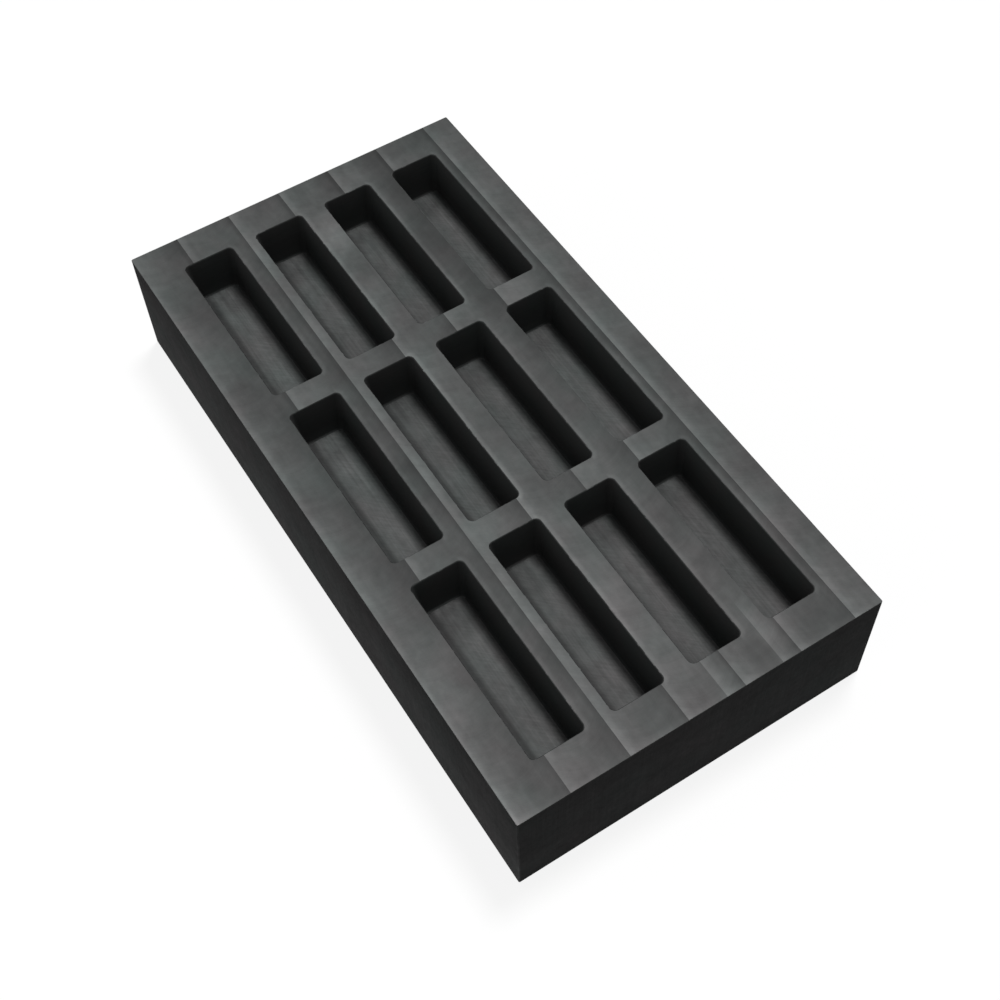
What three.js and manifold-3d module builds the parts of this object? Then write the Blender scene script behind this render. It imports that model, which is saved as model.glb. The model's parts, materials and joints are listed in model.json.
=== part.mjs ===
import * as THREE from 'three';
import { mergeVertices } from 'three/addons/utils/BufferGeometryUtils.js';
import Module from 'manifold-3d';

// Graphite mould: one solid block with twelve open pockets, three rows of four, that cast small bars.
// Millimetres, +Z up. The origin is in the middle of the underside. The pockets run along Y.

// Driving dimensions, pocket grid
const POCKET_COLUMNS = 4;
const POCKET_ROWS = 3;
const POCKET_WIDTH = 20;
const POCKET_LENGTH = 73;
const COLUMN_LAND = 10;
const ROW_LAND = 10.5;
const SIDE_MARGIN = 15;
const END_MARGIN = 15;

// Driving dimensions, one pocket
const POCKET_DEPTH = 17;
const SIDE_WALL_DRAFT_DEGREES = 5.5;
const END_WALL_DRAFT_DEGREES = 9;
const POCKET_CORNER_RADIUS = 2;
const FLOOR_FILLET_RADIUS = 1;
const RIM_BREAK = 0.3;

// Driving dimensions, block
const FLOOR_THICKNESS = 31;
const BLOCK_CORNER_RADIUS = 0.5;
const BLOCK_EDGE_BREAK = 0.3;
const CUT_OVERRUN = 1;

// How many straight facets stand for one turn of a round corner, and for the fillet's quarter turn
const POCKET_TURN_FACETS = 24;
const BLOCK_TURN_FACETS = 16;
const FILLET_FACETS = 4;

// Sizes worked out from the driving dimensions
const COLUMN_PITCH = POCKET_WIDTH + COLUMN_LAND;
const ROW_PITCH = POCKET_LENGTH + ROW_LAND;
const BLOCK_WIDTH = POCKET_COLUMNS * COLUMN_PITCH - COLUMN_LAND + 2 * SIDE_MARGIN;
const BLOCK_LENGTH = POCKET_ROWS * ROW_PITCH - ROW_LAND + 2 * END_MARGIN;
const BLOCK_HEIGHT = FLOOR_THICKNESS + POCKET_DEPTH;
const SIDE_WALL_SLOPE = Math.tan(THREE.MathUtils.degToRad(SIDE_WALL_DRAFT_DEGREES));
const END_WALL_SLOPE = Math.tan(THREE.MathUtils.degToRad(END_WALL_DRAFT_DEGREES));

const wasm = await Module();
wasm.setup();

// A closed solid whose level sections are rectangles with round corners. The profile is turned about
// the Z axis, then each quarter of it is drawn apart. A profile point is (corner radius, height), and
// drawnOut(height) gives the half lengths of the straight sides there. No vertex of the turning lies
// on an axis, so the facets that cross the axes become the flat sides.
function drawnOutTurning(profile, facets, drawnOut) {
  const halfFacet = Math.PI / facets;
  const turned = profile.map(([radius, height]) => new THREE.Vector2(radius / Math.cos(halfFacet), height));
  const geometry = new THREE.LatheGeometry(turned, facets, halfFacet);
  const position = geometry.attributes.position;
  for (let i = 0; i < position.count; i += 1) {
    const [halfX, halfY] = drawnOut(position.getY(i));
    position.setX(i, position.getX(i) + Math.sign(position.getX(i)) * halfX);
    position.setZ(i, position.getZ(i) + Math.sign(position.getZ(i)) * halfY);
  }
  return geometry.rotateX(Math.PI / 2);
}

// The triangles of a merged geometry without those that a pole of the turning squeezed to a line
function wholeTriangles(index) {
  const kept = [];
  for (let i = 0; i < index.count; i += 3) {
    const corners = [index.getX(i), index.getX(i + 1), index.getX(i + 2)];
    if (new Set(corners).size === corners.length) {
      kept.push(...corners);
    }
  }
  return kept;
}

function toSolid(geometry) {
  const bare = geometry.clone();
  bare.deleteAttribute('normal');
  bare.deleteAttribute('uv');
  const merged = mergeVertices(bare);
  const vertProperties = Float32Array.from(merged.attributes.position.array);
  const triVerts = Uint32Array.from(wholeTriangles(merged.index));
  return new wasm.Manifold(new wasm.Mesh({ numProp: 3, vertProperties, triVerts }));
}

function toGeometry(solid) {
  const mesh = solid.getMesh();
  const geometry = new THREE.BufferGeometry();
  geometry.setAttribute('position', new THREE.BufferAttribute(mesh.vertProperties, mesh.numProp));
  geometry.setIndex(new THREE.BufferAttribute(mesh.triVerts, 1));
  geometry.computeVertexNormals();
  return geometry;
}

// The plain block, with every edge slightly broken
function blockGeometry() {
  const radius = BLOCK_CORNER_RADIUS;
  const flatRadius = radius - Math.min(BLOCK_EDGE_BREAK, radius);
  const profile = [
    [0, 0],
    [flatRadius, 0],
    [radius, BLOCK_EDGE_BREAK],
    [radius, BLOCK_HEIGHT - BLOCK_EDGE_BREAK],
    [flatRadius, BLOCK_HEIGHT],
    [0, BLOCK_HEIGHT],
  ];
  const straight = [BLOCK_WIDTH / 2 - radius, BLOCK_LENGTH / 2 - radius];
  return drawnOutTurning(profile, BLOCK_TURN_FACETS, () => straight);
}

// The shape that one pocket takes out, from its floor to just above the block
function pocketGeometry() {
  const radius = POCKET_CORNER_RADIUS;
  const fillet = Math.min(FLOOR_FILLET_RADIUS, radius);
  const profile = [[0, FLOOR_THICKNESS]];
  for (let i = 0; i <= FILLET_FACETS; i += 1) {
    const turn = (i / FILLET_FACETS) * (Math.PI / 2);
    const filletRadius = radius - fillet * (1 - Math.sin(turn));
    profile.push([filletRadius, FLOOR_THICKNESS + fillet * (1 - Math.cos(turn))]);
  }
  profile.push([radius, BLOCK_HEIGHT - RIM_BREAK]);
  profile.push([radius + RIM_BREAK + CUT_OVERRUN, BLOCK_HEIGHT + CUT_OVERRUN]);
  profile.push([0, BLOCK_HEIGHT + CUT_OVERRUN]);
  return drawnOutTurning(profile, POCKET_TURN_FACETS, (height) => {
    const below = BLOCK_HEIGHT - height;
    return [
      POCKET_WIDTH / 2 - radius - below * SIDE_WALL_SLOPE,
      POCKET_LENGTH / 2 - radius - below * END_WALL_SLOPE,
    ];
  });
}

// Middles of the pockets, counted from the front left one
function pocketPlaces() {
  const places = [];
  for (let row = 0; row < POCKET_ROWS; row += 1) {
    for (let column = 0; column < POCKET_COLUMNS; column += 1) {
      const x = (column - (POCKET_COLUMNS - 1) / 2) * COLUMN_PITCH;
      const y = (row - (POCKET_ROWS - 1) / 2) * ROW_PITCH;
      places.push([x, y]);
    }
  }
  return places;
}

function mouldGeometry() {
  const pocket = pocketGeometry();
  let solid = toSolid(blockGeometry());
  for (const [x, y] of pocketPlaces()) {
    solid = solid.subtract(toSolid(pocket.clone().translate(x, y, 0)));
  }
  return toGeometry(solid);
}

const graphite = new THREE.MeshStandardMaterial({ color: 0x55585a, roughness: 0.55, metalness: 0.1 });

const mould = new THREE.Mesh(mouldGeometry(), graphite);
mould.name = 'mould_block';

const group = new THREE.Group();
group.name = 'graphite_mould';
group.add(mould);

export default group;
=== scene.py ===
import json
import math

import bpy
import numpy as np
from mathutils import Matrix, Quaternion, Vector, noise


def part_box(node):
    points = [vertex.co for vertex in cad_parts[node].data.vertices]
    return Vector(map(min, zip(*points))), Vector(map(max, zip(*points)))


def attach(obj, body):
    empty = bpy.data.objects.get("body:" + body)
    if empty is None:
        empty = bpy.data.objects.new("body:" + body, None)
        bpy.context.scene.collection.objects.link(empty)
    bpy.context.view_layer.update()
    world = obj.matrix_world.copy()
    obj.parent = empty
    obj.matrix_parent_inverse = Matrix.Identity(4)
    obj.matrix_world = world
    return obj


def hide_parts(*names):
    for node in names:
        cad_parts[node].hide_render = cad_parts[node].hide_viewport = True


# Graphite mould: the looks of one machined block with twelve open pockets.
# Shapes are worked out in millimetres, in the frame of the CAD, and become metres when a mesh is made.

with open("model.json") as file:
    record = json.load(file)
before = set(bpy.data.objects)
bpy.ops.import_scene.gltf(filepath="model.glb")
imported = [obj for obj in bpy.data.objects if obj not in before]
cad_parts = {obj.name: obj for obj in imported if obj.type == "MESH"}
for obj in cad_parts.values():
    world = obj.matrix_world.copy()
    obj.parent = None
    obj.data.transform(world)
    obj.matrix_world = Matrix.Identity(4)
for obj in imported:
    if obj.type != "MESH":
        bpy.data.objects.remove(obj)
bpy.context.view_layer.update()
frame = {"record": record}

MM = 0.001
NODE = "mould_block"
SEED = 11

# One pocket, as in the CAD
POCKET_WIDTH = 20
POCKET_LENGTH = 73
POCKET_DEPTH = 17
SIDE_WALL_DRAFT_DEGREES = 5.5
END_WALL_DRAFT_DEGREES = 9
POCKET_CORNER_RADIUS = 2
FLOOR_FILLET_RADIUS = 1
RIM_ROUNDING = 0.5

# The grid of pockets, as in the CAD, with the first and the last number of its columns and rows
COLUMN_PITCH = 30
COLUMN_NUMBERS = (-2, 1)
ROW_PITCH = 83.5
ROW_NUMBERS = (-1, 1)

# The block's edges
BLOCK_CORNER_RADIUS = 0.5
BLOCK_EDGE_ROUNDING = 0.28

# The facing cutter's passes over the top: each one sinks a little to its right-hand end
FACING_START = 19.2
FACING_PITCH = 21.9
FACING_PASSES = 7
FACING_SINK = 0.06
FACING_SCOOP = 0.008
FACING_DEPTH_SPREAD = 0.02
FACING_PARTS = 4
FACING_ALLOWANCE = 0.03
FACING_OVERRUN = 3
FACING_ARC_RADIUS = 14

# How finely the meshes are divided
POINT_SPACING = 1.1
POCKET_CORNER_FACETS = 9
BLOCK_CORNER_FACETS = 5
FILLET_FACETS = 5
EDGE_DEGREES = (0, 30, 60, 90)
RIM_DEGREES = (0, 30, 60)
BLOCK_WALL_HEIGHTS = 7
POCKET_WALL_HEIGHTS = 5

# Unevenness of the sharp edges
EDGE_GRAIN = 1.6
EDGE_UNEVENNESS = 0.05
POCKET_CHIPS = 6
BLOCK_CHIPS = 26
CHIP_HALF_WIDTH = (0.7, 1.9)
CHIP_DEPTH = (0.04, 0.2)

# The machined surfaces, in the order of the mould's materials, and how a face is told to be on one
TOP_SURFACE, FLOOR_SURFACE, WALL_SURFACE, OUTER_SURFACE = range(4)
POCKET_MARGIN = 0.15
FLOOR_MARGIN = 1
RIM_MARGIN = 0.12
LEVEL_NORMAL = 0.9
UPWARD_NORMAL = 0.5
SHARP_DEGREES = 50

block_low, block_high = (np.array(corner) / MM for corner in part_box(NODE))
BLOCK_WIDTH, BLOCK_LENGTH = (block_high - block_low)[:2]
LEFT_EDGE = block_low[0]
FRONT_EDGE = -BLOCK_LENGTH / 2
BACK_EDGE = BLOCK_LENGTH / 2
TOP = block_high[2]
FLOOR = TOP - POCKET_DEPTH
SIDE_WALL_SLOPE = math.tan(math.radians(SIDE_WALL_DRAFT_DEGREES))
END_WALL_SLOPE = math.tan(math.radians(END_WALL_DRAFT_DEGREES))

# The middle of each pocket, from the record's openings
openings = frame["record"]["physics"]["openings"]
pocket_places = [np.mean(opening["box_m"], axis=0)[:2] / MM for opening in openings]


# Rings and lofts

def side_steps(half_x, half_y):
    """How many steps go along a side that faces X, and along one that faces Y."""
    return round(2 * half_y / POINT_SPACING), round(2 * half_x / POINT_SPACING)


def round_corner_ring(half_x, half_y, radius, steps, corner_facets):
    """Points and outward directions once round a rectangle with round corners, anticlockwise."""
    points = []
    outward = []
    for side in range(4):
        ahead, across = (half_x, half_y) if side % 2 == 0 else (half_y, half_x)
        turned = side * math.pi / 2
        out = np.array([math.cos(turned), math.sin(turned)])
        along = np.array([-out[1], out[0]])
        for step in range(steps[side % 2] + 1):
            slide = (2 * step / steps[side % 2] - 1) * (across - radius)
            points.append(out * ahead + along * slide)
            outward.append(out)
        for facet in range(1, corner_facets):
            turn = facet / corner_facets * math.pi / 2
            direction = out * math.cos(turn) + along * math.sin(turn)
            centre = out * (ahead - radius) + along * (across - radius)
            points.append(centre + direction * radius)
            outward.append(direction)
    return np.array(points), np.array(outward)


def at_height(points, height):
    """Flat points as points in space at one height."""
    return np.column_stack([points, np.full(len(points), height)])


def chips_round(points, count, random):
    """How deep each point of a ring lies in a few small chips, in millimetres."""
    depth = np.zeros(len(points))
    for _ in range(count):
        middle = points[random.integers(len(points))]
        half_width = random.uniform(*CHIP_HALF_WIDTH)
        deepest = random.uniform(*CHIP_DEPTH)
        away = np.linalg.norm(points - middle, axis=1) / half_width
        depth = np.maximum(depth, deepest * np.clip(1 - away ** 2, 0, 1))
    return depth


def unevenness(points):
    """A fine wander of an edge, in millimetres, from solid noise."""
    return np.array([noise.noise(Vector(point) / EDGE_GRAIN) for point in points]) * EDGE_UNEVENNESS


def lofted(rings):
    """Vertices and faces of a closed solid through rings that go upwards."""
    count = len(rings[0])
    bottom = list(range(count))
    faces = [bottom[::-1]]
    for level in range(len(rings) - 1):
        for i in range(count):
            j = (i + 1) % count
            low = level * count
            high = low + count
            faces.append([low + i, low + j, high + j, high + i])
    faces.append([(len(rings) - 1) * count + i for i in bottom])
    return np.concatenate(rings), faces


def new_object(name, vertices, faces):
    """A mesh object made from points in millimetres."""
    mesh = bpy.data.meshes.new(name)
    mesh.from_pydata((np.asarray(vertices) * MM).tolist(), [], faces)
    mesh.update()
    made = bpy.data.objects.new(name, mesh)
    bpy.context.scene.collection.objects.link(made)
    return made


# Shapes

def block_levels(top):
    """Inset, height and name of the edge for each ring of the block, from the bottom up."""
    levels = []
    for degrees in reversed(EDGE_DEGREES):
        turn = math.radians(degrees)
        height = BLOCK_EDGE_ROUNDING * (1 - math.sin(turn))
        levels.append((BLOCK_EDGE_ROUNDING * (1 - math.cos(turn)), height, "bottom"))
    for height in np.linspace(0, top, BLOCK_WALL_HEIGHTS)[1:-1]:
        levels.append((0, height, None))
    for degrees in EDGE_DEGREES:
        turn = math.radians(degrees)
        height = top - BLOCK_EDGE_ROUNDING * (1 - math.sin(turn))
        levels.append((BLOCK_EDGE_ROUNDING * (1 - math.cos(turn)), height, "top"))
    return levels


def block_object(random):
    """The block before its top is faced, with slightly uneven rounded edges."""
    half_x = BLOCK_WIDTH / 2
    half_y = BLOCK_LENGTH / 2
    steps = side_steps(half_x, half_y)
    straight, _ = round_corner_ring(half_x, half_y, BLOCK_CORNER_RADIUS, steps, BLOCK_CORNER_FACETS)
    chips = {edge: chips_round(straight, BLOCK_CHIPS, random) for edge in ("bottom", "top")}
    rings = []
    for inset, height, edge in block_levels(TOP + FACING_ALLOWANCE):
        points, outward = round_corner_ring(
            half_x - inset,
            half_y - inset,
            BLOCK_CORNER_RADIUS - inset,
            steps,
            BLOCK_CORNER_FACETS,
        )
        if edge:
            share = inset / BLOCK_EDGE_ROUNDING
            inward = share * (chips[edge] + EDGE_UNEVENNESS + unevenness(at_height(points, height)))
            points = points - outward * inward[:, None]
        rings.append(at_height(points, height))
    return new_object("mould", *lofted(rings))


def pocket_levels():
    """Growth, height and share of edge unevenness for each ring of a pocket, from the floor up."""
    levels = []
    for facet in range(FILLET_FACETS + 1):
        turn = facet / FILLET_FACETS * math.pi / 2
        height = FLOOR + FLOOR_FILLET_RADIUS * (1 - math.cos(turn))
        levels.append((-FLOOR_FILLET_RADIUS * (1 - math.sin(turn)), height, 0))
    rim = TOP - RIM_ROUNDING
    for height in np.linspace(FLOOR + FLOOR_FILLET_RADIUS, rim, POCKET_WALL_HEIGHTS)[1:-1]:
        levels.append((0, height, 0))
    for degrees in RIM_DEGREES:
        turn = math.radians(degrees)
        growth = RIM_ROUNDING * (1 - math.cos(turn))
        levels.append((growth, rim + RIM_ROUNDING * math.sin(turn), math.sin(turn)))
    growth, height, _ = levels[-1]
    levels.append((growth + RIM_ROUNDING, height + RIM_ROUNDING, 1))
    return levels


def pocket_rings(place, random):
    """Rings of the shape that one pocket takes out. Its chips are laid out round the floor's ring."""
    steps = side_steps(POCKET_WIDTH / 2, POCKET_LENGTH / 2)
    chips = None
    rings = []
    for growth, height, edge_share in pocket_levels():
        below = TOP - height
        half_x = POCKET_WIDTH / 2 - below * SIDE_WALL_SLOPE + growth
        half_y = POCKET_LENGTH / 2 - below * END_WALL_SLOPE + growth
        radius = POCKET_CORNER_RADIUS + growth
        points, outward = round_corner_ring(half_x, half_y, radius, steps, POCKET_CORNER_FACETS)
        points = points + place
        if chips is None:
            chips = chips_round(points, POCKET_CHIPS, random)
        if edge_share:
            shift = edge_share * (chips + unevenness(at_height(points, height)))
            points = points + outward * shift[:, None]
        rings.append(at_height(points, height))
    return rings


def pockets_object(random):
    """All the shapes that the pockets take out, as one object."""
    vertices = []
    faces = []
    for place in pocket_places:
        ring_vertices, ring_faces = lofted(pocket_rings(place, random))
        start = sum(len(part) for part in vertices)
        vertices.append(ring_vertices)
        faces += [[start + corner for corner in face] for face in ring_faces]
    return new_object("pockets", np.concatenate(vertices), faces)


def facing_object(random):
    """What the facing cutter takes off the top: every pass leans a little, and has its own depth."""
    line = []
    for band in range(FACING_PASSES):
        left = LEFT_EDGE + FACING_START + FACING_PITCH * (band - 1)
        depth = random.uniform(0, FACING_DEPTH_SPREAD) if band else 0
        for part in range(FACING_PARTS + 1):
            share = part / FACING_PARTS
            scoop = FACING_SCOOP * math.sin(math.pi * share)
            line.append((left + share * FACING_PITCH, TOP - depth - FACING_SINK * share - scoop))
    line = [(line[0][0], TOP + FACING_OVERRUN)] + line + [(line[-1][0], TOP + FACING_OVERRUN)]
    near = [(x, FRONT_EDGE - FACING_OVERRUN, z) for x, z in line]
    far = [(x, BACK_EDGE + FACING_OVERRUN, z) for x, z in line]
    count = len(line)
    faces = [list(range(count)), [count + i for i in range(count)][::-1]]
    for i in range(count):
        j = (i + 1) % count
        faces.append([j, i, count + i, count + j])
    return new_object("facing", near + far, faces)


def take_out(block, *tools):
    """The block's mesh becomes what the tools leave of it, and the tools go."""
    for tool in tools:
        cut = block.modifiers.new("cut", "BOOLEAN")
        cut.operation = "DIFFERENCE"
        cut.solver = "EXACT"
        cut.object = tool
    evaluated = block.evaluated_get(bpy.context.evaluated_depsgraph_get())
    block.data = bpy.data.meshes.new_from_object(evaluated)
    block.modifiers.clear()
    for tool in tools:
        bpy.data.objects.remove(tool)


def surface_of(centre, normal):
    """Which machined surface a face belongs to, from its middle and its normal."""
    away = np.abs(np.array(pocket_places) - centre[:2])
    across = away[:, 0] < POCKET_WIDTH / 2 + POCKET_MARGIN
    along = away[:, 1] < POCKET_LENGTH / 2 + POCKET_MARGIN
    if np.any(across & along) and FLOOR - FLOOR_MARGIN < centre[2] < TOP - RIM_MARGIN:
        return FLOOR_SURFACE if normal[2] > LEVEL_NORMAL else WALL_SURFACE
    return TOP_SURFACE if normal[2] > UPWARD_NORMAL else OUTER_SURFACE


def shade(block, materials):
    """Gives each surface its material and the mesh its normals."""
    mesh = block.data
    mesh.name = block.name
    mesh.materials.clear()
    for material in materials:
        mesh.materials.append(material)
    for polygon in mesh.polygons:
        polygon.material_index = surface_of(np.array(polygon.center) / MM, polygon.normal)
        polygon.use_smooth = True
    mesh.set_sharp_from_angle(angle=math.radians(SHARP_DEGREES))
    weighted_normals = block.modifiers.new("weighted_normals", "WEIGHTED_NORMAL")
    weighted_normals.keep_sharp = True


# Node helpers

def new_tree(name):
    """A new material, its node tree and its shader."""
    material = bpy.data.materials.new(name)
    material.use_nodes = True
    tree = material.node_tree
    return material, tree, tree.nodes["Principled BSDF"]


def put(tree, socket, value):
    """A link or a plain value for one socket."""
    if isinstance(value, bpy.types.NodeSocket):
        tree.links.new(value, socket)
    else:
        socket.default_value = value


def calculate(tree, operation, *values, clamp=False):
    """The result of one piece of arithmetic."""
    node = tree.nodes.new("ShaderNodeMath")
    node.operation = operation
    node.use_clamp = clamp
    for socket, value in zip(node.inputs, values):
        put(tree, socket, value)
    return node.outputs[0]


def smooth_step(tree, value, start, end, before=0.0, after=1.0):
    """A smooth change from before, where the value is at the start, to after, where it is at the end."""
    node = tree.nodes.new("ShaderNodeMapRange")
    node.interpolation_type = "SMOOTHSTEP"
    for name, given in (
        ("Value", value),
        ("From Min", start),
        ("From Max", end),
        ("To Min", before),
        ("To Max", after),
    ):
        put(tree, node.inputs[name], given)
    return node.outputs[0]


def position(tree):
    """X, Y and Z on the surface in millimetres, and all three as one vector."""
    coordinates = tree.nodes.new("ShaderNodeTexCoord")
    scaled = tree.nodes.new("ShaderNodeVectorMath")
    scaled.operation = "SCALE"
    put(tree, scaled.inputs["Vector"], coordinates.outputs["Object"])
    put(tree, scaled.inputs["Scale"], 1 / MM)
    parts = tree.nodes.new("ShaderNodeSeparateXYZ")
    put(tree, parts.inputs[0], scaled.outputs[0])
    return parts.outputs[0], parts.outputs[1], parts.outputs[2], scaled.outputs[0]


def combine(tree, x, y, z):
    """Three numbers as one vector."""
    node = tree.nodes.new("ShaderNodeCombineXYZ")
    for socket, value in zip(node.inputs, (x, y, z)):
        put(tree, socket, value)
    return node.outputs[0]


def grain(tree, vector, size, detail, roughness=0.55):
    """Noise whose features have this size in millimetres along X, Y and Z, from about -1 to 1."""
    scaled = tree.nodes.new("ShaderNodeVectorMath")
    scaled.operation = "MULTIPLY"
    put(tree, scaled.inputs[0], vector)
    put(tree, scaled.inputs[1], tuple(1 / part for part in size))
    node = tree.nodes.new("ShaderNodeTexNoise")
    put(tree, node.inputs["Vector"], scaled.outputs[0])
    put(tree, node.inputs["Scale"], 1.0)
    put(tree, node.inputs["Detail"], detail)
    put(tree, node.inputs["Roughness"], roughness)
    return weighted(tree, (node.outputs["Fac"], 2.0), start=-1.0)


def open_grain(tree, place, size):
    """The fine open grain of graphite, with pores of this size in millimetres."""
    return grain(tree, place, size=(size, size, size), detail=2.0, roughness=0.7)


def weighted(tree, *parts, start=0.0):
    """The sum of (value, weight) pairs."""
    total = start
    for value, weight in parts:
        total = calculate(tree, "MULTIPLY_ADD", value, weight, total)
    return total


def gain(tree, *parts):
    """One plus the sum of (value, weight) pairs, as a factor for brightness."""
    return weighted(tree, *parts, start=1.0)


def multiplied(tree, *factors):
    """The product of all the factors."""
    total = factors[0]
    for factor in factors[1:]:
        total = calculate(tree, "MULTIPLY", total, factor)
    return total


def blend(tree, share, first, second):
    """first where share is 0, second where it is 1."""
    node = tree.nodes.new("ShaderNodeMix")
    node.clamp_factor = False
    for socket, value in zip(node.inputs[0:1] + node.inputs[2:4], (share, first, second)):
        put(tree, socket, value)
    return node.outputs[0]


def curve(tree, fraction, stops):
    """A curve through (place, value) stops. The ramp holds half of each value, so that it stays below 1."""
    ramp = tree.nodes.new("ShaderNodeValToRGB")
    put(tree, ramp.inputs[0], fraction)
    elements = ramp.color_ramp.elements
    for place, _ in stops[1:-1]:
        elements.new(place)
    for element, (place, value) in zip(elements, stops):
        element.position = place
        element.color = (value / 2, value / 2, value / 2, 1)
    return calculate(tree, "MULTIPLY", ramp.outputs[0], 2.0)


def seen_directly(tree):
    """1 for the camera, also by way of a reflection or through glass, and 0 for all other light."""
    path = tree.nodes.new("ShaderNodeLightPath")
    seen = calculate(tree, "MAXIMUM", path.outputs["Is Camera Ray"], path.outputs["Is Glossy Ray"])
    return calculate(tree, "MAXIMUM", seen, path.outputs["Is Transmission Ray"])


# Looks shared by the materials

# Colours and gloss of the milled top and floors, of the pocket walls, and of the outer faces. The same
# graphite is lighter on the level top and floors as painted sheen, and darker on the walls as painted shade
SHEEN = {
    "warm": (0.0930, 0.0905, 0.0910),
    "cool": (0.0820, 0.0925, 0.0900),
    "roughness": 0.62,
    "roughness_spread": 0.05,
    "specular": 0.15,
}
MATT = {
    "warm": (0.0490, 0.0475, 0.0478),
    "cool": (0.0430, 0.0485, 0.0472),
    "roughness": 0.75,
    "roughness_spread": 0.04,
    "specular": 0.01,
}
DULL = {
    "warm": (0.0700, 0.0670, 0.0680),
    "cool": (0.0640, 0.0680, 0.0670),
    "roughness": 0.75,
    "roughness_spread": 0.04,
    "specular": 0.008,
}

# How strongly a tint shifts the colour, and the share of the cool colour where there is none
TINT_CONTRAST = 0.9
EVEN_TINT = 0.5

# The painted highlight and shade lines on a pocket's long rims begin this far from its middle, and are full
# this far
RIM_START = 8.5
RIM_FULL = 9.6


def finish_graphite(tree, shader, tone, tint, height, bump_depth, look):
    """Colour, gloss and relief. tone scales the colour, and tint shifts it from warm to greenish grey."""
    mix = tree.nodes.new("ShaderNodeMix")
    mix.data_type = "RGBA"
    share, warm, cool = (mix.inputs[index] for index in (0, 6, 7))
    put(tree, share, calculate(tree, "MULTIPLY_ADD", tint, TINT_CONTRAST, EVEN_TINT, clamp=True))
    put(tree, warm, (*look["warm"], 1.0))
    put(tree, cool, (*look["cool"], 1.0))
    scaled = tree.nodes.new("ShaderNodeVectorMath")
    scaled.operation = "SCALE"
    put(tree, scaled.inputs["Vector"], mix.outputs[2])
    put(tree, scaled.inputs["Scale"], tone)
    put(tree, shader.inputs["Base Color"], scaled.outputs[0])
    rough = calculate(tree, "MULTIPLY_ADD", height, look["roughness_spread"], look["roughness"], clamp=True)
    put(tree, shader.inputs["Roughness"], rough)
    put(tree, shader.inputs["Specular IOR Level"], look["specular"])
    bump = tree.nodes.new("ShaderNodeBump")
    put(tree, bump.inputs["Strength"], 1.0)
    put(tree, bump.inputs["Distance"], bump_depth * MM)
    put(tree, bump.inputs["Height"], height)
    put(tree, shader.inputs["Normal"], bump.outputs[0])


def grid_number(tree, operation, value, pitch, numbers):
    """The number of a column or row, rounded by the operation and kept on the grid."""
    number = calculate(tree, operation, calculate(tree, "DIVIDE", value, pitch))
    return calculate(tree, "MINIMUM", calculate(tree, "MAXIMUM", number, numbers[0]), numbers[1])


def pocket_distance(tree, x, y):
    """Distance outside the nearest pocket's rim, and the place across and along it, in millimetres."""
    column = grid_number(tree, "FLOOR", x, COLUMN_PITCH, COLUMN_NUMBERS)
    row = grid_number(tree, "ROUND", y, ROW_PITCH, ROW_NUMBERS)
    middle = weighted(tree, (column, COLUMN_PITCH), start=COLUMN_PITCH / 2)
    across = calculate(tree, "SUBTRACT", x, middle)
    along = calculate(tree, "SUBTRACT", y, calculate(tree, "MULTIPLY", row, ROW_PITCH))
    beyond = []
    for value, half in ((across, POCKET_WIDTH / 2), (along, POCKET_LENGTH / 2)):
        size = calculate(tree, "ABSOLUTE", value)
        past = calculate(tree, "SUBTRACT", size, half - POCKET_CORNER_RADIUS)
        beyond.append(calculate(tree, "POWER", calculate(tree, "MAXIMUM", past, 0.0), 2.0))
    length = calculate(tree, "SQRT", calculate(tree, "ADD", *beyond))
    return calculate(tree, "SUBTRACT", length, POCKET_CORNER_RADIUS), across, along


def warmer_front(tree, y, variation):
    """A tint that is a little warmer towards the front end."""
    shift = smooth_step(tree, y, start=-20, end=-110, before=0.05, after=-0.25)
    return calculate(tree, "ADD", variation, shift)


# The faced top

# Painted sheen across one facing pass, from its left border to the right one: two ways that it falls
EARLY_FALL = ((0, 1.46), (0.07, 1.33), (0.17, 1.14), (0.4, 0.99), (0.7, 0.92), (0.92, 0.84), (1, 0.7))
LATE_FALL = ((0, 1.28), (0.1, 1.3), (0.35, 1.22), (0.55, 1.06), (0.7, 0.86), (0.88, 0.7), (1, 0.64))

# How far apart two passes read the noise, so that each one looks different, and how slowly the
# cutter's marks change across a pass
BAND_NOISE_STEP = 9.0
MARK_NOISE_STEP = 7.0
MARK_DRIFT = 0.05

# A second start of the cutter near the front end brightens two short stripes with painted sheen
RESTART_SHIFT = -7.1
RESTART_PASSES = (3, 4)
RESTART_START = -103
RESTART_FULL = -121
RESTART_FALL = ((0, 0.68), (0.06, 0.64), (0.16, 0.48), (0.24, 0.36), (0.33, 0), (1, 0))

# Rubbed and dusty places on the top: middle X and Y, half sizes and gain
SMEARS = (
    (3, 106, 7, 14, 0.35),
    (32, 82, 8, 66, -0.32),
    (23, 131, 4, 10, 0.24),
    (-1, 131, 6, 12, -0.22),
    (-63, -80, 12, 26, 0.15),
    (1, -95, 8, 30, 0.14),
    (-69, -130, 9, 14, 0.25),
    (66, -50, 11, 130, -0.2),
    (44, 42, 7, 20, 0.24),
    (-12, -42, 8, 25, 0.3),
    (-59, 30, 11, 150, -0.16),
    (49, -130, 14, 14, -0.24),
    (25, -130, 6, 13, -0.26),
    (40, 134, 42, 11, -0.22),
    (-31, 106, 6, 18, 0.26),
    (-33, -104, 5, 18, 0.25),
    (1, -12, 7, 36, -0.2),
)


def facing_fraction(tree, x, start):
    """How far across its facing pass a point lies, from 0 to 1, and the number of the pass."""
    passes = calculate(tree, "DIVIDE", calculate(tree, "SUBTRACT", x, LEFT_EDGE + start), FACING_PITCH)
    number = calculate(tree, "FLOOR", passes)
    return calculate(tree, "SUBTRACT", passes, number), number


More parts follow.
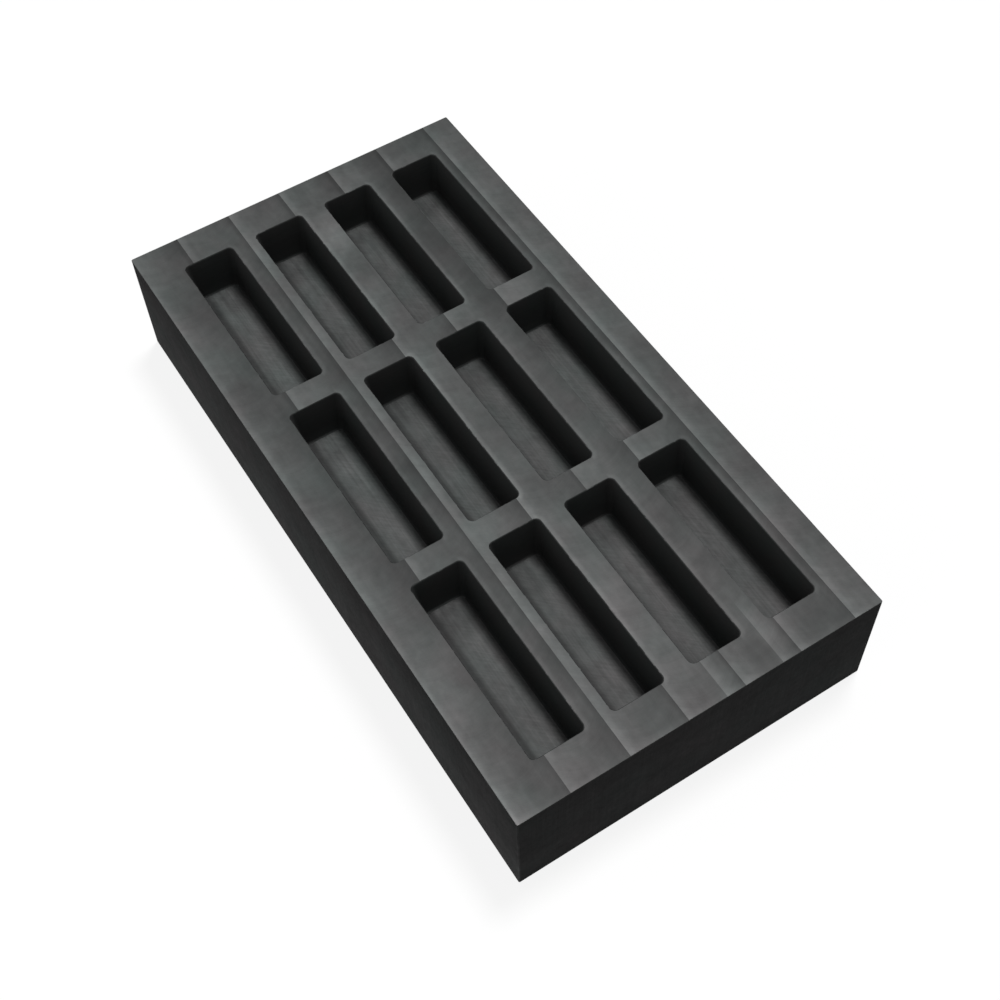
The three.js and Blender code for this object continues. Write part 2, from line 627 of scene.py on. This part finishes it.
def facing_bands(tree, x, y):
    """Painted sheen of the facing passes, the place across the pass in millimetres, and its number."""
    fraction, number = facing_fraction(tree, x, FACING_START)
    early = curve(tree, fraction, EARLY_FALL)
    late = curve(tree, fraction, LATE_FALL)
    wander = combine(tree, calculate(tree, "MULTIPLY", number, BAND_NOISE_STEP), y, 0.0)
    choice = smooth_step(tree, grain(tree, wander, size=(1, 30, 1), detail=1.0), start=-0.25, end=0.25)
    band = blend(tree, choice, early, late)
    strength = grain(tree, wander, size=(1.3, 22, 1), detail=1.0)
    band = blend(tree, weighted(tree, (strength, 0.9), start=1.2), 1.0, band)
    level = grain(tree, combine(tree, number, 0.0, 0.0), size=(0.37, 1, 1), detail=0.0)
    band = calculate(tree, "MULTIPLY", band, gain(tree, (level, 0.08)))
    across = calculate(tree, "MULTIPLY", calculate(tree, "SUBTRACT", fraction, 0.5), FACING_PITCH)
    return band, across, number


def cutter_marks(tree, y, across, number):
    """A vector whose X stays the same along the cutter's arcs, for marks that are drawn in noise."""
    across_squared = calculate(tree, "POWER", across, 2.0)
    drop = calculate(tree, "SUBTRACT", FACING_ARC_RADIUS ** 2, across_squared)
    arc = calculate(tree, "ADD", y, calculate(tree, "SQRT", drop))
    drift = calculate(tree, "MULTIPLY", across, MARK_DRIFT)
    return combine(tree, arc, drift, calculate(tree, "MULTIPLY", number, MARK_NOISE_STEP))


def burr_light_and_shade(tree, x, y):
    """Painted light and shade on the burr between two passes: a painted highlight on its right-hand flank,
    painted shade on the left-hand one.
    """
    fraction, _ = facing_fraction(tree, x, FACING_START)
    light = smooth_step(tree, fraction, start=0.14, end=0.04, before=0.0, after=0.15)
    dark = smooth_step(tree, fraction, start=0.88, end=0.97)
    darkness = smooth_step(tree, y, start=FRONT_EDGE, end=BACK_EDGE, before=-0.03, after=-0.22)
    return weighted(tree, (dark, darkness), start=light)


def restart_sheen_stripes(tree, x, y):
    """Painted sheen where the cutter set off again near the front end."""
    fraction, number = facing_fraction(tree, x, FACING_START + RESTART_SHIFT)
    glow = curve(tree, fraction, RESTART_FALL)
    first = calculate(tree, "GREATER_THAN", number, RESTART_PASSES[0] - 0.5)
    last = calculate(tree, "LESS_THAN", number, RESTART_PASSES[1] + 0.5)
    near_end = smooth_step(tree, y, start=RESTART_START, end=RESTART_FULL)
    return multiplied(tree, glow, first, last, near_end)


def smears(tree, x, y):
    """The sum of the soft rubbed and dusty places."""
    total = 0.0
    for middle_x, middle_y, half_x, half_y, strength in SMEARS:
        away_x = calculate(tree, "DIVIDE", calculate(tree, "SUBTRACT", x, middle_x), half_x)
        away_y = calculate(tree, "DIVIDE", calculate(tree, "SUBTRACT", y, middle_y), half_y)
        squares = [calculate(tree, "POWER", away, 2.0) for away in (away_x, away_y)]
        inside = smooth_step(tree, calculate(tree, "ADD", *squares), start=1.0, end=0.0)
        total = weighted(tree, (inside, strength), start=total)
    return total


def right_rim_highlights(tree, x, y):
    """A painted highlight line outside right-hand rims."""
    distance, across, _ = pocket_distance(tree, x, y)
    near = smooth_step(tree, distance, start=2.3, end=0.8)
    return multiplied(tree, near, smooth_step(tree, across, start=RIM_START, end=RIM_FULL), 0.3)


def edge_highlights(tree, x, y):
    """A painted highlight along the left and front edges of the top, strongest where the two meet."""
    left = smooth_step(tree, x, start=LEFT_EDGE + 3.2, end=LEFT_EDGE + 0.2, before=0.0, after=0.25)
    front = smooth_step(tree, y, start=FRONT_EDGE + 3, end=FRONT_EDGE + 0.3, before=0.0, after=0.2)
    bright = smooth_step(tree, x, start=LEFT_EDGE + 1.6, end=LEFT_EDGE + 0.4)
    near_front = smooth_step(tree, y, start=-50, end=-125, before=0.0, after=0.22)
    return weighted(tree, (bright, near_front), start=calculate(tree, "ADD", left, front))


def faced_top():
    """The face-milled top: straight passes with crisp borders and painted sheen across each, painted light
    and shade on their burrs, painted highlights along rims and edges, curved cutter marks and clouding.
    """
    material, tree, shader = new_tree("graphite_faced_top")
    x, y, _, place = position(tree)
    band, across, number = facing_bands(tree, x, y)
    swept = cutter_marks(tree, y, across, number)
    marks = grain(tree, swept, size=(0.55, 1, 1), detail=2.0)
    broad_marks = grain(tree, swept, size=(2.6, 1, 1), detail=1.0)
    clouds = grain(tree, place, size=(15, 22, 15), detail=2.5)
    blotches = grain(tree, place, size=(3.2, 4.2, 3.2), detail=2.0)
    streaks = grain(tree, place, size=(2.2, 60, 20), detail=2.0)
    pores = open_grain(tree, place, size=0.35)
    # Painted light: the top is lighter towards the front end and darker towards the back
    painted_light_slope = smooth_step(tree, y, start=FRONT_EDGE, end=BACK_EDGE, before=1.02, after=0.89)
    marking = gain(tree, (streaks, 0.12), (marks, 0.10), (broad_marks, 0.10), (pores, 0.08))
    clouding = gain(tree, (clouds, 0.32), (blotches, 0.24))
    # Painted sheen of the restart stripes, rubbed and dusty places, and painted light and shade on the
    # burrs
    stripes = restart_sheen_stripes(tree, x, y)
    places = gain(tree, (stripes, 1.0), (smears(tree, x, y), 1.0), (burr_light_and_shade(tree, x, y), 1.0))
    # Painted highlights outside right-hand rims and along the left and front edges
    lines = gain(tree, (right_rim_highlights(tree, x, y), 1.0), (edge_highlights(tree, x, y), 1.0))
    tone = multiplied(tree, band, painted_light_slope, marking, clouding, places, lines)
    tint = warmer_front(tree, y, grain(tree, place, size=(16, 20, 16), detail=2.0))
    height = weighted(tree, (pores, 0.5), (marks, 0.7))
    finish_graphite(tree, shader, tone, tint, height, bump_depth=0.012, look=SHEEN)
    return material


# The pockets

def left_wall_shade(tree, x, across):
    """Painted shade on the floor by the left wall, soft and lighter at the wall's foot. It fades out to the
    right.
    """
    widening = smooth_step(tree, x, start=-45, end=15, before=0.0, after=1.1)
    from_wall = calculate(tree, "SUBTRACT", across, widening)
    return multiplied(
        tree,
        smooth_step(tree, from_wall, start=-8.4, end=-5.4, before=0.2, after=1.0),
        smooth_step(tree, from_wall, start=-5.1, end=-2.6, before=1.0, after=0.0),
        smooth_step(tree, x, start=-12, end=30, before=1.0, after=0.0),
    )


def pocket_floor():
    """Milled floor: fine lines, faint cross marks, painted shade by the left wall and a darker, blotchy far
    end.
    """
    material, tree, shader = new_tree("graphite_pocket_floor")
    x, y, _, place = position(tree)
    slanting = combine(tree, calculate(tree, "ADD", x, y), x, 0.0)
    lines = grain(tree, place, size=(0.8, 30, 10), detail=2.0)
    wide_lines = grain(tree, place, size=(2.6, 60, 10), detail=1.0)
    cross = grain(tree, slanting, size=(0.9, 8, 1), detail=1.0)
    clouds = grain(tree, place, size=(9, 16, 9), detail=2.5)
    blotches = grain(tree, place, size=(2.4, 3.4, 2.4), detail=2.0)
    far_end_blotches = grain(tree, place, size=(3.5, 6, 3.5), detail=2.0)
    pores = open_grain(tree, place, size=0.35)
    _, across, along = pocket_distance(tree, x, y)
    # Painted shade: the floor is darker towards the left wall
    painted_light_slope = smooth_step(tree, across, start=-5.0, end=3.0, before=1.04, after=1.14)
    side = smooth_step(tree, x, start=-50, end=-8, before=1.05, after=0.92)
    # The floor grows darker and blotchy towards its far end
    far_end_tone = weighted(tree, (far_end_blotches, 0.3), start=0.77)
    ragged = weighted(tree, (blotches, 3.0), start=along)
    far_end = smooth_step(tree, ragged, start=17, end=25, before=1.0, after=far_end_tone)
    lined = gain(tree, (lines, 0.34), (wide_lines, 0.14), (cross, 0.22), (pores, 0.1))
    clouding = gain(tree, (clouds, 0.34), (blotches, 0.26))
    # Painted shade on the floor along the left wall, lighter at the wall's foot
    left_wall_shade_gain = gain(tree, (left_wall_shade(tree, x, across), -0.58))
    tone = multiplied(tree, lined, clouding, painted_light_slope, side, far_end, left_wall_shade_gain)
    tint = warmer_front(tree, y, grain(tree, place, size=(11, 18, 11), detail=2.0))
    height = weighted(tree, (cross, 0.4), (lines, 0.8))
    finish_graphite(tree, shader, tone, tint, height, bump_depth=0.015, look=SHEEN)
    return material


def pocket_wall():
    """Milled wall: faint level lines from the side of the cutter, painted light at the foot, painted shade
    on left-hand rims that turns to a painted highlight in the rightmost pockets, and a painted highlight on
    right-hand rims.
    """
    material, tree, shader = new_tree("graphite_pocket_wall")
    x, y, z, place = position(tree)
    lines = grain(tree, place, size=(25, 25, 0.7), detail=2.0)
    clouds = grain(tree, place, size=(8, 12, 8), detail=2.0)
    _, across, _ = pocket_distance(tree, x, y)
    rim = smooth_step(tree, z, start=TOP - 0.8, end=TOP - 0.4)
    left_rim = smooth_step(tree, across, start=-RIM_START, end=-RIM_FULL)
    right_rim = smooth_step(tree, across, start=RIM_START, end=RIM_FULL)
    ragged = gain(tree, (grain(tree, place, size=(3, 9, 3), detail=1.0), 0.9))
    # Painted shade on the left-hand rims of the left-hand pockets, turning to a painted highlight in the
    # rightmost ones
    left_rim_shading_by_column = smooth_step(tree, x, start=0, end=32, before=-0.4, after=0.8)
    left_rim_shading = multiplied(tree, rim, left_rim, left_rim_shading_by_column, ragged)
    # Painted highlight on the right-hand rims
    right_rim_highlight = multiplied(tree, rim, right_rim, 0.4)
    # Painted light: the wall is lighter near its foot
    painted_light_at_foot = smooth_step(tree, z, start=FLOOR + 5, end=FLOOR, before=0.0, after=0.2)
    tone = gain(tree, (lines, 0.10), (clouds, 0.12), (left_rim_shading, 1.0), (right_rim_highlight, 1.0), (painted_light_at_foot, 1.0))
    tint = grain(tree, place, size=(14, 14, 14), detail=2.0)
    finish_graphite(tree, shader, tone, tint, height=lines, bump_depth=0.015, look=MATT)
    return material


# The outer faces

# Wear and painted highlight start this far from an edge of the block, and are full this far from it
EDGE_MARK_START = 0.9
EDGE_MARK_FULL = 0.3

# The left face reaches this far in, over its rounded edges
LEFT_FACE_DEPTH = 0.45

# Heights between which painted bounce light makes the faces paler towards the foot
FADE_TOP = TOP + 6
FADE_BOTTOM = -6


def near_edge(tree, value, edge):
    """1 close to an edge, and 0 where the value is a millimetre or more short of it."""
    return smooth_step(tree, value, start=edge - EDGE_MARK_START, end=edge - EDGE_MARK_FULL)


def edge_wear_and_highlight(tree, x, y, z):
    """Wear and painted highlight: 1 along the edges of the outer faces, 0 a millimetre away from them."""
    side = near_edge(tree, calculate(tree, "ABSOLUTE", x), BLOCK_WIDTH / 2)
    end = near_edge(tree, calculate(tree, "ABSOLUTE", y), BLOCK_LENGTH / 2)
    upright = calculate(tree, "MULTIPLY", side, end)
    outside = calculate(tree, "MAXIMUM", side, end)
    lower = calculate(tree, "MULTIPLY", outside, smooth_step(tree, z, start=EDGE_MARK_START, end=EDGE_MARK_FULL))
    upper = near_edge(tree, z, TOP)
    return calculate(tree, "MAXIMUM", calculate(tree, "MAXIMUM", upright, lower), upper)


def outer_face():
    """The outer faces: fine upright grinding lines and slow clouding, and painted bounce light that makes
    them a little paler towards the foot.
    """
    material, tree, shader = new_tree("graphite_outer_face")
    x, y, z, place = position(tree)
    lines = grain(tree, place, size=(0.9, 0.9, 45), detail=2.0)
    clouds = grain(tree, place, size=(22, 22, 16), detail=2.5)
    blotches = grain(tree, place, size=(5, 5, 4), detail=2.0)
    scuffs = grain(tree, place, size=(1.8, 1.8, 2.6), detail=2.0)
    rubs = grain(tree, place, size=(7, 7, 7), detail=2.0)
    pores = open_grain(tree, place, size=0.4)
    # Painted bounce light from the floor: the faces grow paler towards the foot, the left face most
    left_face_bounce = smooth_step(tree, z, start=FADE_TOP, end=FADE_BOTTOM, before=0.57, after=1.36)
    face_bounce = smooth_step(tree, z, start=FADE_TOP, end=FADE_BOTTOM, before=0.8, after=1.04)
    left_face = calculate(tree, "LESS_THAN", x, LEFT_EDGE + LEFT_FACE_DEPTH)
    painted_light_at_foot = blend(tree, left_face, face_bounce, left_face_bounce)
    rubbed = smooth_step(tree, rubs, start=-0.3, end=0.3, before=0.25, after=1.0)
    # Wear and painted highlight along the edges, patchy
    edge_wear_highlight = calculate(tree, "MULTIPLY", edge_wear_and_highlight(tree, x, y, z), rubbed)
    marking = gain(tree, (lines, 0.22), (scuffs, 0.2), (pores, 0.14))
    clouding = gain(tree, (clouds, 0.36), (blotches, 0.26))
    tone = multiplied(tree, painted_light_at_foot, marking, clouding, gain(tree, (edge_wear_highlight, 0.6)))
    tint = grain(tree, place, size=(26, 26, 20), detail=1.0)
    height = weighted(tree, (pores, 0.5), (lines, 0.6))
    finish_graphite(tree, shader, tone, tint, height, bump_depth=0.015, look=DULL)
    return material


# Surroundings

# The floor: its size, how far it lies below the object, its grey, and the glow that makes it white
STUDIO_HALF_SIZE = 6000
STUDIO_GAP = 0.1
STUDIO_GREY = (0.16, 0.16, 0.16, 1)
STUDIO_GLOW = 0.87

# The even light that comes from all sides
WORLD_LIGHT = 0.2

# The lamps: the direction they stand in, their strength and how wide they look
KEY_DIRECTION = (math.tan(math.radians(15.8)), math.tan(math.radians(8.5)), 1)
KEY_STRENGTH = 2.1
KEY_DEGREES = 12.5
FILL_DIRECTION = (-1, 0, 0.36)
FILL_STRENGTH = 0.42
FILL_DEGREES = 40

# The camera, in metres
CAMERA_PLACE = (-0.1600, -0.2856, 0.4842)
CAMERA_AIM = (-0.0119, -0.0343, 0.048)
CAMERA_ROLL_DEGREES = -2.36
SENSOR_WIDTH = 36
FOCAL_LENGTH = 55.98


def floor_material():
    """White where it is seen, with the object's soft shadow, and grey for the light that it sends back."""
    material, tree, shader = new_tree("studio_floor")
    tree.nodes.remove(shader)
    paper = tree.nodes.new("ShaderNodeBsdfDiffuse")
    put(tree, paper.inputs["Color"], STUDIO_GREY)
    glow = tree.nodes.new("ShaderNodeEmission")
    put(tree, glow.inputs["Strength"], STUDIO_GLOW)
    white = tree.nodes.new("ShaderNodeAddShader")
    tree.links.new(paper.outputs[0], white.inputs[0])
    tree.links.new(glow.outputs[0], white.inputs[1])
    mix = tree.nodes.new("ShaderNodeMixShader")
    put(tree, mix.inputs[0], seen_directly(tree))
    tree.links.new(paper.outputs[0], mix.inputs[1])
    tree.links.new(white.outputs[0], mix.inputs[2])
    tree.links.new(mix.outputs[0], tree.nodes["Material Output"].inputs["Surface"])
    return material


def make_floor():
    """A wide sheet just under the object."""
    half = STUDIO_HALF_SIZE
    corners = [(x, y, -STUDIO_GAP) for x, y in ((-half, -half), (half, -half), (half, half), (-half, half))]
    floor = new_object("studio_floor", corners, [[0, 1, 2, 3]])
    floor.data.materials.append(floor_material())


def make_world():
    """A dim even light on the object, and white where the camera looks past the floor."""
    world = bpy.data.worlds.new("studio")
    bpy.context.scene.world = world
    world.use_nodes = True
    tree = world.node_tree
    background = tree.nodes["Background"]
    put(tree, background.inputs["Color"], (1, 1, 1, 1))
    strength = weighted(tree, (seen_directly(tree), 1 - WORLD_LIGHT), start=WORLD_LIGHT)
    put(tree, background.inputs["Strength"], strength)


def add_sun(name, direction, strength, degrees):
    """A soft lamp that shines from the direction given."""
    lamp = bpy.data.lights.new(name, "SUN")
    lamp.energy = strength
    lamp.angle = math.radians(degrees)
    holder = bpy.data.objects.new(name, lamp)
    holder.rotation_euler = Vector(direction).to_track_quat("Z", "Y").to_euler()
    bpy.context.scene.collection.objects.link(holder)


def make_camera():
    """The photo's viewing angle, with the slight roll that it has."""
    place = Vector(CAMERA_PLACE)
    roll = Quaternion((0, 0, 1), math.radians(CAMERA_ROLL_DEGREES))
    lens = bpy.data.cameras.new("camera")
    lens.sensor_width = SENSOR_WIDTH
    lens.lens = FOCAL_LENGTH
    camera = bpy.data.objects.new("camera", lens)
    turned = (Vector(CAMERA_AIM) - place).to_track_quat("-Z", "Y") @ roll
    camera.matrix_world = Matrix.Translation(place) @ turned.to_matrix().to_4x4()
    bpy.context.scene.collection.objects.link(camera)
    bpy.context.scene.camera = camera


# The mould in its studio

random = np.random.default_rng(SEED)
mould = block_object(random)
take_out(mould, facing_object(random), pockets_object(random))
shade(mould, [faced_top(), pocket_floor(), pocket_wall(), outer_face()])
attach(mould, "root")
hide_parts(NODE)

make_floor()
make_world()
add_sun("key", KEY_DIRECTION, KEY_STRENGTH, KEY_DEGREES)
add_sun("fill", FILL_DIRECTION, FILL_STRENGTH, FILL_DEGREES)
make_camera()
bpy.context.scene.view_settings.view_transform = "Standard"
